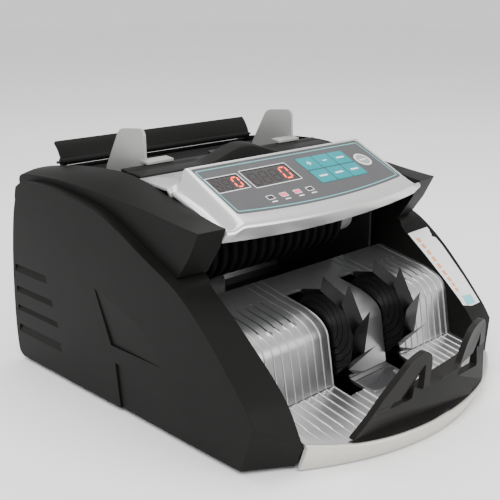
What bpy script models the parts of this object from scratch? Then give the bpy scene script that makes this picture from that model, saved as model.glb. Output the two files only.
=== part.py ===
"""Banknote counting machine: every separate piece as its own object.

Metres, +Z up.  The operator stands on the -Y side.  The origin is on the
ground under the middle of the machine.  Lengths below are in millimetres and
are scaled once, in new_object().
"""

import math

import bmesh
import bpy
from mathutils import Vector

MM = 0.001

# ---------------------------------------------------------------- dimensions
GAP = 0.3                      # clearance between neighbouring pieces
HALF_WIDTH = 122.5             # outer face of the side covers
SHOULDER_HALF = 115.7          # recessed upper part of the side covers
INNER_HALF = 95.5              # inner wall of the side covers
FIT_HALF = INNER_HALF - GAP    # pieces that span between the covers
FOOT_HEIGHT = 3.0
WALL = 2.5

PANEL_TILT = math.radians(25.5)
PANEL_REAR = (-6.0, 156.6)     # rear edge of the key panel (Y, Z)
PANEL_HALF = 80.2
PANEL_DEPTH = 46.1
PANEL_BOW = 5.5                # how far the front edge of the panel bulges
OVERLAY_THICK = 1.5

STACKER_AXIS = (-73.0, 54.9)
STACKER_RADIUS = 34.8
STACKER_LEAVES = 10
HUB_RADIUS = 11.0
LEAF_SWEEP = math.radians(165.0)
LEAF_HALF = 0.7                # half the thickness of a leaf
LEAF_STEPS = 11
STACKER_WHEEL_X = (20.0, 33.0)
SLOT_X = (19.0, 34.4)          # openings the stacker wheels reach through

DRUM_AXIS = (2.0, 103.0)
DRUM_RADIUS = 21.0
PICKUP_AXIS = (72.0, 113.0)
PICKUP_RADIUS = 17.0
MOTOR_AXIS = (95.0, 40.0)
STACKER_MOTOR_AXIS = (-38.0, 38.0)
MOTOR_PULLEY = 8.0
PICKUP_PULLEY = 6.0
DRUM_PULLEY = 7.0
STACKER_PULLEY = 4.0
FRAME_X = (82.0, 84.0)         # steel frame plates, distance from the middle
FLAP_AXIS = (119.5, 147.0)
GUIDE_X = 71.5

SEGMENTS = 32

# ------------------------------------------------------------------ materials
FINISHES = {
    "shell": ((0.035, 0.034, 0.033), 0.62, 0.0),
    "interior": ((0.012, 0.012, 0.012), 0.7, 0.0),
    "silver": ((0.62, 0.62, 0.62), 0.32, 0.7),
    "stop": ((0.05, 0.045, 0.042), 0.5, 0.0),
    "overlay": ((0.11, 0.11, 0.11), 0.45, 0.0),
    "key": ((0.02, 0.33, 0.36), 0.45, 0.0),
    "start": ((0.35, 0.36, 0.36), 0.4, 0.2),
    "window": ((0.02, 0.02, 0.022), 0.08, 0.0),
    "display": ((0.05, 0.01, 0.01), 0.2, 0.0),
    "rubber": ((0.03, 0.03, 0.03), 0.8, 0.0),
    "grey": ((0.3, 0.31, 0.32), 0.5, 0.0),
    "steel": ((0.5, 0.5, 0.5), 0.35, 1.0),
    "board": ((0.02, 0.14, 0.06), 0.5, 0.0),
    "lamp": ((0.25, 0.22, 0.5), 0.15, 0.0),
    "belt": ((0.02, 0.02, 0.02), 0.7, 0.0),
}


def clear_scene():
    for obj in list(bpy.data.objects):
        bpy.data.objects.remove(obj, do_unlink=True)


def make_material(name, finish):
    colour, roughness, metallic = FINISHES[finish]
    material = bpy.data.materials.new(name)
    material.use_nodes = True
    shader = material.node_tree.nodes["Principled BSDF"]
    shader.inputs["Base Color"].default_value = (*colour, 1.0)
    shader.inputs["Roughness"].default_value = roughness
    shader.inputs["Metallic"].default_value = metallic
    return material


def new_object(name, bm, finish, origin=(0.0, 0.0, 0.0), tilt=0.0):
    """Turn a bmesh in millimetres into an object with its origin at `origin`."""
    bmesh.ops.recalc_face_normals(bm, faces=bm.faces)
    shift = Vector(origin)
    for vert in bm.verts:
        vert.co = (vert.co - shift) * MM if tilt == 0.0 else vert.co * MM
    mesh = bpy.data.meshes.new(name)
    bm.to_mesh(mesh)
    bm.free()
    mesh.shade_smooth()
    mesh.set_sharp_from_angle(angle=math.radians(35))
    mesh.materials.append(make_material(name, finish))
    obj = bpy.data.objects.new(name, mesh)
    obj.location = shift * MM
    obj.rotation_euler = (tilt, 0.0, 0.0)
    bpy.context.collection.objects.link(obj)
    return obj


# --------------------------------------------------------------- mesh helpers
def loft(sections):
    """Closed solid through rings of 3-D points that all have the same count."""
    bm = bmesh.new()
    rings = [[bm.verts.new(point) for point in ring] for ring in sections]
    count = len(rings[0])
    for first, second in zip(rings, rings[1:]):
        for i in range(count):
            j = (i + 1) % count
            bm.faces.new((first[i], first[j], second[j], second[i]))
    bm.faces.new(rings[0])
    bm.faces.new(rings[-1])
    bm.normal_update()
    bmesh.ops.triangulate(bm, faces=[f for f in bm.faces if len(f.verts) > 4])
    return bm


def prism_x(outline, x0, x1):
    """Extrude an outline of (y, z) points from x0 to x1."""
    return loft([[(x, y, z) for y, z in outline] for x in (x0, x1)])


def prism_z(outline, z0, z1):
    return loft([[(x, y, z) for x, y in outline] for z in (z0, z1)])


def box(x0, x1, y0, y1, z0, z1):
    return prism_z([(x0, y0), (x1, y0), (x1, y1), (x0, y1)], z0, z1)


def circle(centre, radius, segments=SEGMENTS):
    steps = [2 * math.pi * i / segments for i in range(segments)]
    return [
        (centre[0] + radius * math.cos(a), centre[1] + radius * math.sin(a))
        for a in steps
    ]


def rod_x(axis, radius, x0, x1, segments=SEGMENTS):
    return prism_x(circle(axis, radius, segments), x0, x1)


def turned_x(axis, profile, segments=SEGMENTS):
    """Turn a closed (x, r) profile about a line parallel to X; r > 0 throughout."""
    bm = bmesh.new()
    rings = []
    for i in range(segments):
        angle = 2 * math.pi * i / segments
        ring = [
            (x, axis[0] + r * math.cos(angle), axis[1] + r * math.sin(angle))
            for x, r in profile
        ]
        rings.append([bm.verts.new(point) for point in ring])
    count = len(profile)
    for i in range(segments):
        here, after = rings[i], rings[(i + 1) % segments]
        for k in range(count):
            m = (k + 1) % count
            bm.faces.new((here[k], here[m], after[m], after[k]))
    return bm


def sleeve_x(axis, bore, radius, x0, x1, segments=SEGMENTS):
    profile = [(x0, bore), (x0, radius), (x1, radius), (x1, bore)]
    return turned_x(axis, profile, segments)


def inset(outline, distance):
    """Move every edge of a closed outline inwards by `distance`."""
    count = len(outline)
    area = sum(
        outline[i][0] * outline[(i + 1) % count][1]
        - outline[(i + 1) % count][0] * outline[i][1]
        for i in range(count)
    )
    sign = 1.0 if area > 0 else -1.0
    result = []
    for i in range(count):
        before = Vector(outline[i - 1])
        here = Vector(outline[i])
        after = Vector(outline[(i + 1) % count])
        d0 = (here - before).normalized()
        d1 = (after - here).normalized()
        n0 = Vector((-d0.y, d0.x)) * sign
        n1 = Vector((-d1.y, d1.x)) * sign
        bisector = (n0 + n1).normalized()
        result.append(tuple(here + bisector * (distance / max(0.4, bisector.dot(n0)))))
    return result


def offset(line, distance):
    """Open line of (y, z) points moved to its left, with mitred corners."""
    moved = []
    last = len(line) - 1
    for i, point in enumerate(line):
        here = Vector(point)
        into = (here - Vector(line[i - 1])).normalized() if i else (Vector(line[1]) - here).normalized()
        away = (Vector(line[i + 1]) - here).normalized() if i < last else into
        normal = Vector((-into.y, into.x))
        bisector = (normal + Vector((-away.y, away.x))).normalized()
        moved.append(tuple(here + bisector * (distance / max(0.4, bisector.dot(normal)))))
    return moved


def strip(line, thickness):
    """Closed outline of a sheet that follows an open line of (y, z) points."""
    return list(line) + offset(line, thickness)[::-1]


def combine(obj, tool_bm, operation):
    """Boolean `obj` with a hidden tool object that stays in the scene."""
    tool = new_object(f"{obj.name}_tool_{len(obj.modifiers)}", tool_bm, "steel")
    tool.hide_render = True
    tool.display_type = "WIRE"
    modifier = obj.modifiers.new(operation.title(), "BOOLEAN")
    modifier.operation = operation
    modifier.solver = "EXACT"
    modifier.object = tool


def cut(obj, tool_bm):
    combine(obj, tool_bm, "DIFFERENCE")


def join(obj, tool_bm):
    combine(obj, tool_bm, "UNION")


# ------------------------------------------------------------- base and feet
def build_base():
    corner = 8.0
    outline = [
        (-FIT_HALF, 136.0), (-FIT_HALF, -100.0), (-FIT_HALF + corner, -108.0),
        (FIT_HALF - corner, -108.0), (FIT_HALF, -100.0), (FIT_HALF, 136.0),
    ]
    base = new_object("base_plate", prism_z(outline, FOOT_HEIGHT, 6.0), "interior")
    stand = {"front_left": (-74, -84), "front_right": (74, -84),
             "rear_left": (-74, 112), "rear_right": (74, 112)}
    for place, (x, y) in stand.items():
        foot = prism_z(circle((x, y), 8.0, 24), 0.0, FOOT_HEIGHT - GAP)
        new_object(f"{place}_foot", foot, "rubber")
    return base


# --------------------------------------------------------------- side covers
REAR_EDGE = [(138.0, 3.0), (144.8, 14.2), (145.7, 38.2), (143.7, 75.0), (138.9, 107.5),
             (133.9, 123.7)]
RIDGE_OUTER = [(131.0, 133.0), (119.5, 137.3), (89.5, 138.0), (62.5, 135.3), (37.0, 131.2),
               (13.2, 122.1), (-9.3, 111.3), (-30.8, 101.6), (-43.2, 96.0), (-61.0, 80.8),
               (-80.2, 61.0), (-93.2, 46.3), (-98.5, 39.8), (-103.0, 32.8), (-93.0, 3.0)]
RIDGE_INNER = [(131.0, 133.0), (119.5, 137.3), (89.5, 138.0), (62.5, 135.3), (37.0, 131.2),
               (13.2, 122.1), (-9.3, 111.3), (-36.0, 101.0), (-41.5, 93.6), (-61.0, 78.2),
               (-80.2, 62.0), (-93.2, 50.3), (-104.9, 36.9), (-116.0, 15.8), (-110.0, 3.0)]
TOP_OUTER = [(132.0, 120.5), (137.2, 134.2), (136.4, 137.8), (128.0, 140.6), (115.1, 141.4),
             (85.9, 142.4), (51.0, 141.0), (26.0, 139.4), (-2.0, 137.6), (-23.9, 135.0),
             (-40.5, 133.5), (-52.6, 132.1), (-44.1, 115.9), (-34.3, 102.3), (0.0, 92.0),
             (120.0, 92.0)]
TOP_INNER = [(132.0, 120.5), (137.2, 134.2), (136.8, 138.9), (128.0, 143.3), (116.0, 145.9),
             (88.0, 149.3), (48.0, 151.3), (24.0, 149.3), (1.0, 143.9), (-21.0, 138.7),
             (-41.5, 133.8), (-53.8, 131.8), (-48.0, 118.5), (-37.4, 102.6), (0.0, 92.0),
             (120.0, 92.0)]


def build_side_cover(name, side):
    lower_outer = REAR_EDGE + RIDGE_OUTER
    lower_inner = REAR_EDGE + RIDGE_INNER
    lower = loft([
        [(side * INNER_HALF, y, z) for y, z in lower_inner],
        [(side * HALF_WIDTH, y, z) for y, z in lower_outer],
    ])
    cover = new_object(name, lower, "shell")
    join(cover, loft([
        [(side * INNER_HALF, y, z) for y, z in TOP_INNER],
        [(side * SHOULDER_HALF, y, z) for y, z in TOP_OUTER],
    ]))
    hollow_low = inset(REAR_EDGE + RIDGE_OUTER, 3.4)
    hollow_low[0] = (hollow_low[0][0], -2.0)
    hollow_low[-1] = (hollow_low[-1][0], -2.0)
    cut(cover, prism_x(hollow_low, side * (INNER_HALF + 2.0), side * (HALF_WIDTH - WALL)))
    hollow_high = inset(TOP_OUTER, 3.2)
    cut(cover, prism_x(hollow_high, side * (INNER_HALF + 2.0), side * (SHOULDER_HALF - WALL)))


# ------------------------------------------------------------------ rear cover
REAR_PANEL = [(140.2, 6.3), (144.6, 14.2), (145.5, 38.2), (143.5, 75.0), (138.7, 107.5),
              (133.7, 123.7), (137.0, 134.2), (136.6, 138.7), (130.0, 142.0), (124.5, 143.2)]
INLET_PLACE = (-62.0, 27.0)
SWITCH_PLACE = (-30.0, 27.0)


def build_rear():
    cover = new_object("rear_cover", prism_x(strip(REAR_PANEL, WALL), -FIT_HALF, FIT_HALF), "shell")
    inlet_x, inlet_z = INLET_PLACE
    switch_x, switch_z = SWITCH_PLACE
    cut(cover, box(inlet_x - 14, inlet_x + 14, 135, 150, inlet_z - 10.5, inlet_z + 10.5))
    cut(cover, box(switch_x - 7.5, switch_x + 7.5, 135, 150, switch_z - 11, switch_z + 11))
    body = box(inlet_x - 13.7, inlet_x + 13.7, 122, 145.2, inlet_z - 10.2, inlet_z + 10.2)
    inlet = new_object("power_inlet", body, "interior")
    cut(inlet, box(inlet_x - 11.5, inlet_x + 11.5, 128, 150, inlet_z - 8, inlet_z + 8))
    join(inlet, box(inlet_x - 6, inlet_x + 6, 126, 143.0, inlet_z - 1.2, inlet_z + 1.2))
    housing = box(switch_x - 7.2, switch_x + 7.2, 126, 145.2, switch_z - 10.7, switch_z + 10.7)
    switch = new_object("power_switch_body", housing, "interior")
    cut(switch, box(switch_x - 5.6, switch_x + 5.6, 131, 150, switch_z - 9.4, switch_z + 9.4))
    rocker_axis = (140.0, switch_z)
    face = [(146.2, 7.9), (144.0, 0.0), (143.4, -7.9), (139.0, -6.0), (137.2, 0.0), (139.0, 6.0)]
    outline = [(y - 0.6, switch_z + z) for y, z in face]
    new_object("power_rocker", prism_x(outline, switch_x - 5.2, switch_x + 5.2), "stop",
               origin=(switch_x, *rocker_axis))


# ------------------------------------------------- front tray, lip, note stop
TRAY_REAR = (-86.3, 24.8)
TRAY_SLOPE = 0.2
LIP_FOOT = 0.8
SENSOR_FRONT = -107.5


def lip_foot(x):
    """Y of the curved front just above the ground, distance x from the middle."""
    return -142.2 + 0.0032 * x * x


def lip_brow(x):
    """Y of the front edge of the tray, distance x from the middle."""
    return -145.8 + 0.0021 * x * x + 1.0e-7 * x ** 4


def tray_height(y):
    return TRAY_REAR[1] + TRAY_SLOPE * (y - TRAY_REAR[0])


def build_tray():
    sections = []
    stations = 20
    for i in range(stations + 1):
        x = -FIT_HALF + 2 * FIT_HALF * i / stations
        foot = lip_foot(x)
        brow = lip_brow(x)
        top = tray_height(brow)
        sections.append([
            (x, TRAY_REAR[0], TRAY_REAR[1]), (x, brow + 1.5, top + 0.24), (x, brow, top - 1.0),
            (x, foot, LIP_FOOT), (x, foot + 2.2, LIP_FOOT), (x, brow + 2.6, top - 2.2),
            (x, TRAY_REAR[0], TRAY_REAR[1] - 2.0),
        ])
    tray = new_object("front_tray", loft(sections), "silver")
    low, high = SLOT_X
    for side in (-1, 1):
        x0, x1 = sorted((side * low, side * high))
        cut(tray, box(x0, x1, -99.5, -80, 10, 40))
    cut(tray, box(-low + 0.8, low - 0.8, SENSOR_FRONT, -90, 10, 40))
    pane = []
    for y, rise in ((-90.3, -0.4), (SENSOR_FRONT + GAP, -0.4)):
        pane.append((y, tray_height(y) + rise))
    pane += [(y, z - 3.0) for y, z in pane[::-1]]
    new_object("sensor_window", prism_x(pane, -low + 1.1, low - 1.1), "window")


STOP_OUTLINE = [
    (-72.0, 0.0), (-62.8, 11.0), (-53.3, 23.3), (-42.9, 33.6), (-34.6, 41.4), (-29.5, 44.2),
    (-21.1, 47.0), (-16.2, 44.0), (-14.8, 39.0), (-15.8, 31.5), (-16.9, 23.7), (-6.0, 23.9),
    (-2.0, 24.9), (8.0, 25.4), (16.0, 26.2), (20.0, 33.0), (25.0, 39.5), (31.0, 44.5),
    (38.0, 46.5), (50.0, 46.0), (55.5, 41.0), (54.5, 24.0), (58.0, 0.0),
]
STOP_WINDOWS = [
    [(-47.2, 15.1), (-28.5, 14.7), (-28.1, 34.9)],
    [(23.3, 16.6), (41.5, 16.9), (42.1, 32.4)],
]
STOP_THICK = 5.0


def bend_to_lip(outline, setback):
    """Wrap an (x, height) outline on to the lip, `setback` behind its face."""
    points = []
    for x, height in outline:
        brow = lip_brow(x)
        base = tray_height(brow) + 1.45
        points.append((x, brow + setback, base + height))
    return points


def refine(outline, longest):
    """Split the long edges of a closed outline so that it bends smoothly."""
    result = []
    for here, after in zip(outline, outline[1:] + outline[:1]):
        steps = max(1, math.ceil(abs(after[0] - here[0]) / longest))
        for i in range(steps):
            t = i / steps
            result.append((here[0] + (after[0] - here[0]) * t, here[1] + (after[1] - here[1]) * t))
    return result


def build_note_stop():
    outline = refine(STOP_OUTLINE, 9.0)
    sections = [bend_to_lip(outline, setback) for setback in (0.7, 0.7 + STOP_THICK)]
    stop = new_object("note_stop", loft(sections), "stop")
    for window in STOP_WINDOWS:
        cut(stop, loft([bend_to_lip(window, setback) for setback in (-4.0, 12.0)]))


# --------------------------------------------------------------- stacker plate
STACKER_LINE = [(-86.6, 25.3), (-81.4, 55.0), (-79.8, 59.7), (-77.5, 62.7), (-71.0, 67.3),
                (-62.5, 70.5), (-49.3, 73.0), (-34.9, 76.0), (-21.5, 78.8)]


def build_stacker_plate():
    plate = new_object("stacker_plate", prism_x(strip(STACKER_LINE, -2.0), -FIT_HALF, FIT_HALF),
                       "silver")
    low, high = SLOT_X
    for side in (-1, 1):
        x0, x1 = sorted((side * low, side * high))
        cut(plate, box(x0, x1, -100, -40, 10, 100))


# -------------------------------------------------------------- stacker wheels
def leaf_outline():
    """Long spiral leaves; the pointed tips trail the forward turn."""
    outline = []
    for leaf in range(STACKER_LEAVES):
        start = 2 * math.pi * leaf / STACKER_LEAVES
        spine = []
        for i in range(LEAF_STEPS + 1):
            t = i / LEAF_STEPS
            radius = HUB_RADIUS + (STACKER_RADIUS - HUB_RADIUS) * t
            angle = -start - LEAF_SWEEP * t
            spine.append(Vector((radius * math.cos(angle), radius * math.sin(angle))))
        leading = []
        trailing = []
        for i in range(LEAF_STEPS):
            along = (spine[i + 1] - spine[max(0, i - 1)]).normalized()
            across = Vector((-along.y, along.x)) * LEAF_HALF
            leading.append(spine[i] + across)
            trailing.append(spine[i] - across)
        outline += leading + [spine[-1]] + trailing[::-1]
    centre = Vector(STACKER_AXIS)
    return [tuple(centre + point) for point in outline]


def build_stacker():
    shaft_radius = 2.5
    origin = (0.0, *STACKER_AXIS)
    new_object("stacker_shaft", rod_x(STACKER_AXIS, shaft_radius, -89, 91.5, 20), "steel",
               origin=origin)
    for name, side in (("left_stacker_wheel", -1), ("right_stacker_wheel", 1)):
        x0, x1 = sorted(side * x for x in STACKER_WHEEL_X)
        wheel = new_object(name, prism_x(leaf_outline(), x0, x1), "interior",
                           origin=(0.5 * (x0 + x1), *STACKER_AXIS))
        cut(wheel, rod_x(STACKER_AXIS, shaft_radius + GAP, x0 - 5, x1 + 5, 20))
    new_object("stacker_pulley", sleeve_x(STACKER_AXIS, shaft_radius + GAP, STACKER_PULLEY, 85.4, 90.4, 20),
               "grey", origin=origin)
    for name, side in (("left_stacker_bearing", -1), ("right_stacker_bearing", 1)):
        x0, x1 = sorted((side * FRAME_X[0], side * FRAME_X[1]))
        new_object(name, sleeve_x(STACKER_AXIS, shaft_radius + GAP, 4.6, x0 - 1.2, x1 + 1.0, 20),
                   "steel")


# ---------------------------------------------------------------- frame plates
FRAME_OUTLINE = [(-78.6, 6.3), (-78.6, 50.0), (-76.8, 56.5), (-74.0, 60.0), (-66.0, 64.6),
                 (-40.0, 70.2), (-20.5, 74.2), (-20.5, 116.0), (4.0, 127.0), (34.0, 122.0),
                 (44.0, 114.0), (110.0, 134.5), (116.0, 132.0), (116.0, 6.3)]


def build_frame():
    for name, side in (("left_frame_plate", -1), ("right_frame_plate", 1)):
        x0, x1 = sorted((side * FRAME_X[0], side * FRAME_X[1]))
        plate = new_object(name, prism_x(FRAME_OUTLINE, x0, x1), "steel")
        holes = [(STACKER_AXIS, 4.9), (DRUM_AXIS, 4.3), (PICKUP_AXIS, 3.3)]
        if side > 0:
            holes += [(MOTOR_AXIS, 6.0), (STACKER_MOTOR_AXIS, 4.0)]
        for axis, radius in holes:
            cut(plate, rod_x(axis, radius, x0 - 5, x1 + 5, 20))


# ----------------------------------------------------------------- feed train
def build_feed_train():
    drum_origin = (0.0, *DRUM_AXIS)
    new_object("feed_drum_shaft", rod_x(DRUM_AXIS, 4.0, -89, 91.5, 24), "steel",
               origin=drum_origin)
    ring_pitch = 8.6
    rings = 15
    x = -75.0
    profile = [(x, 4.3)]
    for _ in range(rings):
        profile += [(x, 17.5), (x + 1.4, DRUM_RADIUS), (x + 5.6, DRUM_RADIUS), (x + 7.0, 17.5)]
        x += ring_pitch
    end = x - ring_pitch + 7.0
    profile.append((end, 4.3))
    new_object("feed_drum", turned_x(DRUM_AXIS, profile, 24), "rubber", origin=drum_origin)
    end_profile = [(62, 4.3), (62, 12.2), (63, 13.2), (73, 13.2), (74, 12.2), (74, 4.3)]
    new_object("drum_end_roller", turned_x(DRUM_AXIS, end_profile, 28), "grey", origin=drum_origin)
    new_object("drum_pulley", sleeve_x(DRUM_AXIS, 4.3, DRUM_PULLEY, 85.4, 90.4, 24), "grey",
               origin=drum_origin)
    pickup_origin = (0.0, *PICKUP_AXIS)
    new_object("pickup_shaft", rod_x(PICKUP_AXIS, 3.0, -89, 91.5, 20), "steel",
               origin=pickup_origin)
    for name, side in (("left_pickup_roller", -1), ("right_pickup_roller", 1)):
        x0, x1 = sorted((side * 24.0, side * 42.0))
        new_object(name, sleeve_x(PICKUP_AXIS, 3.3, PICKUP_RADIUS, x0, x1, 28), "rubber",
                   origin=(0.5 * (x0 + x1), *PICKUP_AXIS))
    new_object("pickup_pulley", sleeve_x(PICKUP_AXIS, 3.3, PICKUP_PULLEY, 85.4, 91.2, 20), "grey",
               origin=pickup_origin)


def belt_outline(first, first_radius, second, second_radius, arc_steps=10):
    """Outline of a loop that runs round two circles on open tangents."""
    a = Vector(first)
    b = Vector(second)
    distance = (b - a).length
    heading = math.atan2(b.y - a.y, b.x - a.x)
    spread = math.acos((first_radius - second_radius) / distance)
    outline = []
    for i in range(arc_steps + 1):
        angle = heading + spread + (2 * math.pi - 2 * spread) * i / arc_steps
        outline.append((a.x + first_radius * math.cos(angle), a.y + first_radius * math.sin(angle)))
    for i in range(arc_steps + 1):
        angle = heading - spread + 2 * spread * i / arc_steps
        outline.append((b.x + second_radius * math.cos(angle), b.y + second_radius * math.sin(angle)))
    return outline


def build_belt(name, first, first_radius, second, second_radius, x0, x1):
    inner = belt_outline(first, first_radius + GAP, second, second_radius + GAP)
    outer = belt_outline(first, first_radius + 1.5, second, second_radius + 1.5)
    bm = bmesh.new()
    rings = []
    for x, outline in ((x0, inner), (x0, outer), (x1, outer), (x1, inner)):
        rings.append([bm.verts.new((x, y, z)) for y, z in outline])
    count = len(inner)
    for k in range(4):
        here, after = rings[k], rings[(k + 1) % 4]
        for i in range(count):
            j = (i + 1) % count
            bm.faces.new((here[i], here[j], after[j], after[i]))
    new_object(name, bm, "belt")


def build_drives():
    motor = rod_x(MOTOR_AXIS, 24.0, 20.0, 81.0, 28)
    new_object("drive_motor", motor, "steel")
    profile = [(81.4, 0.05), (81.4, 2.5), (85.4, 2.5), (85.4, MOTOR_PULLEY),
               (91.2, MOTOR_PULLEY), (91.2, 0.05)]
    new_object("motor_pulley", turned_x(MOTOR_AXIS, profile, 20), "steel",
               origin=(86.0, *MOTOR_AXIS))
    new_object("stacker_motor", rod_x(STACKER_MOTOR_AXIS, 18.0, 52.0, 81.0, 28), "steel")
    profile = [(81.4, 0.05), (81.4, 1.8), (85.4, 1.8), (85.4, STACKER_PULLEY),
               (90.4, STACKER_PULLEY), (90.4, 0.05)]
    new_object("stacker_motor_pulley", turned_x(STACKER_MOTOR_AXIS, profile, 20), "steel",
               origin=(86.0, *STACKER_MOTOR_AXIS))
    build_belt("drive_belt", MOTOR_AXIS, MOTOR_PULLEY, PICKUP_AXIS, PICKUP_PULLEY, 88.7, 91.0)
    build_belt("pickup_belt", PICKUP_AXIS, PICKUP_PULLEY, DRUM_AXIS, DRUM_PULLEY, 85.6, 88.2)
    build_belt("stacker_belt", STACKER_MOTOR_AXIS, STACKER_PULLEY, STACKER_AXIS, STACKER_PULLEY,
               86.2, 89.6)


# ------------------------------------------------------------ power, electrics
def build_electrics():
    core = new_object("transformer", box(-74, -26, 76, 110, 8, 46), "steel")
    join(core, box(-66, -34, 68, 118, 12, 42))
    board = new_object("main_board", box(-72, 14, -16, 60, 12, 13.6), "board")
    for x0, x1, y0, y1, z1 in ((-60, -44, 10, 30, 24), (-30, -10, -2, 14, 18), (-20, 4, 36, 58, 30)):
        join(board, box(x0, x1, y0, y1, 13.0, z1))
    new_object("uv_lamp", rod_x((38.0, 106.0), 4.0, -76, 76, 16), "lamp")


# --------------------------------------------------------------------- hopper
KNOB_PLACE = (0.0, 56.6)
FLOOR_FRONT = (47.5, 121.0)
FLOOR_REAR = (115.5, 142.0)


def build_hopper():
    line = [FLOOR_REAR, FLOOR_FRONT]
    floor = new_object("hopper_floor", prism_x(strip(line, 2.5), -FIT_HALF, FIT_HALF), "interior")
    for side in (-1, 1):
        x0, x1 = sorted((side * 23.0, side * 43.0))
        cut(floor, box(x0, x1, PICKUP_AXIS[0] - 17, PICKUP_AXIS[0] + 17, 100, 150))
    build_front_bar()
    for name, side in (("left_note_guide", -1), ("right_note_guide", 1)):
        build_guide(name, side)
    build_flap()
    knob = prism_z(circle(KNOB_PLACE, 7.0, 24), 137.0, 151.5)
    new_object("thickness_knob", knob, "stop", origin=(*KNOB_PLACE, 144.0))


BAR_HALF = 93.0
HUMP_HALF = 36.0
HUMP_RISE = 9.2


def hump(x):
    return HUMP_RISE * (1.0 - (x / HUMP_HALF) ** 2) if abs(x) < HUMP_HALF else 0.0


def build_front_bar():
    sections = []
    stations = [-BAR_HALF, -60, -HUMP_HALF, -30, -24, -18, -12, -6, 0]
    stations += [-x for x in stations[-2::-1]]
    for x in stations:
        rise = hump(x)
        sections.append([
            (x, 27.0, 146.3), (x, 26.6, 149.6 + rise), (x, 40.0, 151.4 + rise),
            (x, 41.0, 151.5), (x, 48.2, 152.5), (x, 48.2, 149.2), (x, 43.2, 148.0),
            (x, 43.2, 126.0), (x, 40.2, 126.0), (x, 40.2, 147.6),
        ])
    new_object("hopper_front_bar", loft(sections), "shell")


def build_guide(name, side):
    fin = [(52.5, 125.0), (52.5, 149.0), (49.0, 153.2), (49.6, 172.3), (52.6, 175.8),
           (73.6, 173.8), (77.0, 171.6), (93.0, 144.3), (93.0, 137.2)]
    x0, x1 = sorted((side * (GUIDE_X - 1.0), side * (GUIDE_X + 1.0)))
    guide = new_object(name, prism_x(fin, x0, x1), "silver",
                       origin=(side * GUIDE_X, 52.0, 152.0))
    y0 = 44.5
    foot = [(y0, 152.5), (y0, 154.3), (52.3, 155.2), (52.3, 153.4)]
    x0, x1 = sorted((side * (GUIDE_X - 20.0), side * (GUIDE_X + 2.5)))
    join(guide, prism_x(foot, x0, x1))


FLAP_HALF = 92.0


def build_flap():
    line = [(117.6, 146.9), (118.4, 150.5), (120.2, 154.4), (122.9, 158.2), (125.6, 161.0)]
    plate = strip(line, -2.6)
    flap = new_object("note_support_flap", prism_x(plate, -FLAP_HALF, FLAP_HALF), "shell",
                      origin=(0.0, *FLAP_AXIS))
    join(flap, rod_x(FLAP_AXIS, 2.8, -FLAP_HALF, FLAP_HALF, 20))
    cut(flap, rod_x(FLAP_AXIS, 1.3, -FLAP_HALF - 5, FLAP_HALF + 5, 16))
    new_object("flap_hinge_pin", rod_x(FLAP_AXIS, 1.0, -FIT_HALF, FIT_HALF, 16), "steel")


# --------------------------------------------------------------- control panel
def fascia_top(x):
    return -61.8 + 7.0 * (x / 96.0) ** 2


def bezel_section(x):
    """Outline of the bezel at distance x from the middle."""
    blend = min(1.0, max(0.0, (abs(x) - 83.0) / 9.0))
    brow = fascia_top(x)
    slope = math.tan(PANEL_TILT)
    ridge = PANEL_REAR[1] + (brow - PANEL_REAR[0]) * slope
    drop = 9.0 * blend
    rear_top = (-3.6 - 2.0 * blend, 158.2 - 12.6 * blend)
    outer = [
        (26.0, 149.2), (-1.5, 150.4 - 3.0 * blend), rear_top, (brow + 7.0, ridge + 3.3 - drop),
        (brow + 1.5, ridge + 0.6 - 0.45 * drop), (brow, ridge - 1.2 - 0.4 * drop),
        (brow + 4.9, 119.5 + 2.8 * (x / 96.0) ** 2),
    ]
    under = offset(outer, 2.2)
    under[4:6] = [(brow + 3.2, ridge - 1.4 - 0.55 * drop)]
    return [(x, y, z) for y, z in outer + under[::-1]]


def panel_outline(margin):
    """Key panel outline in (u, -v): straight sides and a bowed front edge."""
    half = PANEL_HALF + margin
    outline = [(-half, margin), (half, margin)]
    steps = 12
    for i in range(steps + 1):
        u = half - 2 * half * i / steps
        bow = PANEL_BOW * (1.0 - (u / half) ** 2)
        outline.append((u, -(PANEL_DEPTH + margin + bow)))
    return outline


KEYS = {
    "plus_key": (0, 0), "minus_key": (1, 0), "reset_key": (2, 0),
    "add_key": (0, 1), "uv_key": (1, 1), "mg_key": (2, 1),
}
KEY_BLOCK = (6.0, 55.0, 7.0, 36.5)      # u0, u1, v0, v1 of the block of six keys
KEY_SPACE = 0.9
START_KEY = (64.5, 21.5, 7.2)
WINDOWS = {"batch_display": (-77.0, -51.5, 11.0, 25.0), "count_display": (-47.0, -6.0, 9.5, 27.0)}


def key_rectangle(column, row):
    u0, u1, v0, v1 = KEY_BLOCK
    width = (u1 - u0) / 3
    height = (v1 - v0) / 2
    return (u0 + column * width + KEY_SPACE / 2, u0 + (column + 1) * width - KEY_SPACE / 2,
            v0 + row * height + KEY_SPACE / 2, v0 + (row + 1) * height - KEY_SPACE / 2)


def panel_object(name, bm, finish):
    """Place a bmesh drawn in panel coordinates (u, -v, w)."""
    return new_object(name, bm, finish, origin=(0.0, *PANEL_REAR), tilt=PANEL_TILT)


def panel_cut(obj, bm):
    cut(obj, bm)
    tool = obj.modifiers[-1].object
    tool.location = Vector((0.0, *PANEL_REAR)) * MM
    tool.rotation_euler = (PANEL_TILT, 0.0, 0.0)


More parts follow.
